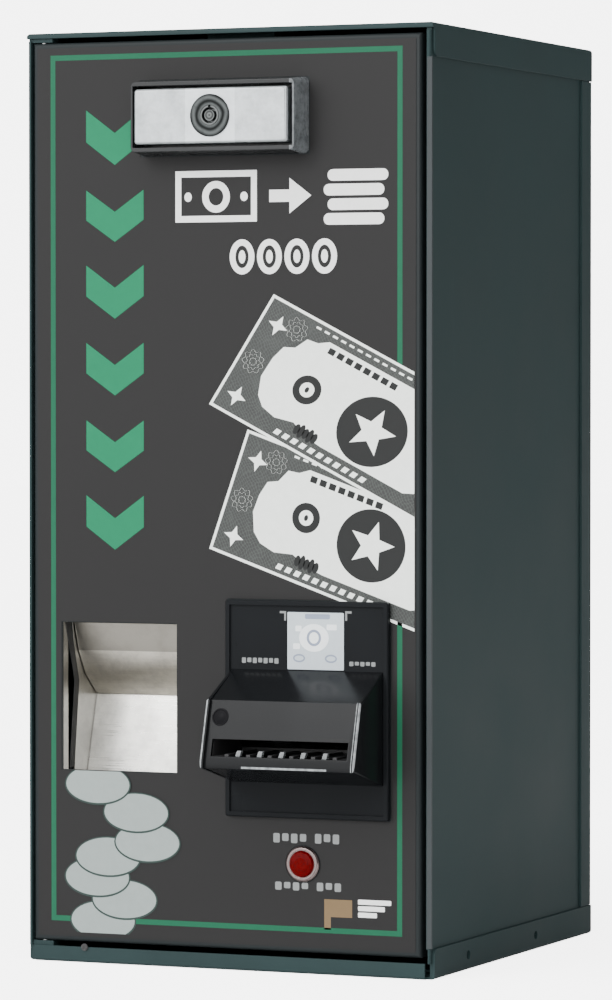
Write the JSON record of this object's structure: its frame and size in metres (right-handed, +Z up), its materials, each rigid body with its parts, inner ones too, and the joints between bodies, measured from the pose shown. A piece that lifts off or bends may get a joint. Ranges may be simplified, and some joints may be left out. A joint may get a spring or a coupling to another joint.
{
  "type": "coin changer",
  "caption": "Sheet steel coin changer: hinged front door with banknote slot, coin cup, lamp and pull-out lock handle, over a coin hopper with its gear train.",
  "frame": {"origin": "centre of the cabinet's underside", "axes": "+Z up, the front with the door faces -Y, +X to the right seen from the front"},
  "size_m": [0.264, 0.3204, 0.56],
  "materials": {
    "cabinet_paint": "fine satin dark green-grey",
    "door_paint": "satin charcoal",
    "film": null,
    "stainless": "brushed",
    "zinc_steel": "zinc plated",
    "dark_chrome": "dark polished",
    "satin_metal": "satin",
    "lock_steel": "turned",
    "gloss_black": "glossy",
    "matte_black": "matt",
    "clear_lens": "clear",
    "red_lens": "glossy translucent red",
    "roller_rubber": "matt",
    "belt_rubber": "matt",
    "white_plastic": "satin",
    "grey_plastic": "satin",
    "blue_plastic": "satin",
    "motor_steel": "plated",
    "board_green": "solder mask",
    "core_iron": "lacquered laminations"
  },
  "bodies": {
    "cabinet": {"top_cap": "cabinet_paint", "base_pan": "cabinet_paint", "back_panel": "cabinet_paint", "power_inlet": "matte_black", "left_side_panel": "cabinet_paint", "right_side_panel": "cabinet_paint", "latch_keeper": "cabinet_paint", "hinge_brackets": "cabinet_paint", "hinge_pins": "lock_steel", "hopper_shelf": "cabinet_paint", "hopper_base": "grey_plastic", "hopper_bowl": "grey_plastic", "hopper_motor": "motor_steel", "coin_chute": "stainless", "exit_sensor": "matte_black", "control_board": "board_green", "board_standoffs": "white_plastic", "transformer": "core_iron", "switch_body": "matte_black"},
    "door": {"door_shell": "door_paint", "door_film": "film", "door_hinge_blocks": "zinc_steel", "door_stiffener": "zinc_steel", "handle_frame": "dark_chrome", "handle_nut": "zinc_steel", "validator_plate": "gloss_black", "door_nuts": "zinc_steel", "snout": "gloss_black", "snout_tray": "matte_black", "mouth_lenses": "clear_lens", "validator_base": "matte_black", "validator_head": "matte_black", "feed_belts": "belt_rubber", "validator_motor": "motor_steel", "bill_box": "zinc_steel", "coin_cup": "stainless", "cup_baffle": "stainless", "lamp_ring": "satin_metal", "lamp_lens": "red_lens", "lamp_body": "matte_black", "lamp_nut": "zinc_steel"},
    "handle": {"handle_bar": "satin_metal", "lock_cylinder": "lock_steel"},
    "plug": {"key_plug": "lock_steel"},
    "latch": {"latch_spindle": "zinc_steel", "latch_cam": "zinc_steel", "cam_nut": "zinc_steel"},
    "rear_feed": {"feed_roller_rear": "roller_rubber", "feed_gear": "white_plastic"},
    "front_feed": {"feed_roller_front": "roller_rubber"},
    "rear_pinch": {"pinch_roller_rear": "roller_rubber"},
    "front_pinch": {"pinch_roller_front": "roller_rubber"},
    "feed_drive": {"feed_pinion": "white_plastic"},
    "box_lid": {"bill_box_lid": "zinc_steel"},
    "pusher": {"pusher_plate": "zinc_steel"},
    "coin_disc": {"hopper_disc": "blue_plastic", "disc_gear": "white_plastic"},
    "idler": {"idler_gear": "white_plastic"},
    "hopper_drive": {"hopper_pinion": "lock_steel"},
    "rocker": {"switch_rocker": "gloss_black"}
  },
  "joints": [
    {"name": "door_hinge", "type": "hinge", "parent": "cabinet", "child": "door", "pos_m": [-0.1223, -0.1308, 0.28], "axis": [0, 0, -1], "range_deg": [0, 100]},
    {"name": "handle_pull", "type": "slide", "parent": "door", "child": "handle", "axis": [0, -1, 0], "range_m": [0, 0.022]},
    {"name": "key_turn", "type": "hinge", "parent": "handle", "child": "plug", "pos_m": [-0.0011, -0.158, 0.5072], "axis": [0, 1, 0], "range_deg": [0, 90]},
    {"name": "latch_turn", "type": "hinge", "parent": "door", "child": "latch", "pos_m": [-0.0011, -0.11, 0.5072], "axis": [0, 1, 0], "range_deg": [0, 90]},
    {"name": "rear_feed_turn", "type": "hinge", "parent": "door", "child": "rear_feed", "pos_m": [0.05325, -0.056, 0.1259], "axis": [1, 0, 0], "continuous": true},
    {"name": "front_feed_turn", "type": "hinge", "parent": "door", "child": "front_feed", "pos_m": [0.05325, -0.112, 0.1259], "axis": [1, 0, 0], "continuous": true},
    {"name": "rear_pinch_turn", "type": "hinge", "parent": "door", "child": "rear_pinch", "pos_m": [0.05325, -0.056, 0.1413], "axis": [1, 0, 0], "continuous": true},
    {"name": "front_pinch_turn", "type": "hinge", "parent": "door", "child": "front_pinch", "pos_m": [0.05325, -0.112, 0.1413], "axis": [1, 0, 0], "continuous": true},
    {"name": "feed_drive_turn", "type": "hinge", "parent": "door", "child": "feed_drive", "pos_m": [0.05325, -0.07542, 0.1179], "axis": [1, 0, 0], "continuous": true},
    {"name": "box_lid_hinge", "type": "hinge", "parent": "door", "child": "box_lid", "pos_m": [0.05325, -0.124, 0.3885], "axis": [1, 0, 0], "range_deg": [0, 88]},
    {"name": "pusher_slide", "type": "slide", "parent": "door", "child": "pusher", "axis": [0, -1, 0], "range_m": [0, 0.022]},
    {"name": "coin_disc_turn", "type": "hinge", "parent": "cabinet", "child": "coin_disc", "pos_m": [-0.0704, 0.032, 0.24], "axis": [0, 0, 1], "continuous": true},
    {"name": "idler_turn", "type": "hinge", "parent": "cabinet", "child": "idler", "pos_m": [-0.0344, 0.032, 0.217], "axis": [0, 0, 1], "continuous": true},
    {"name": "hopper_drive_turn", "type": "hinge", "parent": "cabinet", "child": "hopper_drive", "pos_m": [-0.0344, 0.05, 0.217], "axis": [0, 0, 1], "continuous": true},
    {"name": "rocker_tilt", "type": "hinge", "parent": "cabinet", "child": "rocker", "pos_m": [0.105, -0.0215, 0.19725], "axis": [1, 0, 0], "range_deg": [0, 18]}
  ],
  "couplings": [
    {"joint": "front_feed_turn", "follows": "rear_feed_turn", "ratio": 1},
    {"joint": "rear_pinch_turn", "follows": "rear_feed_turn", "ratio": -1.1429},
    {"joint": "front_pinch_turn", "follows": "rear_feed_turn", "ratio": -1.1429},
    {"joint": "feed_drive_turn", "follows": "rear_feed_turn", "ratio": -2.5},
    {"joint": "idler_turn", "follows": "coin_disc_turn", "ratio": -2},
    {"joint": "hopper_drive_turn", "follows": "coin_disc_turn", "ratio": 4}
  ]
}
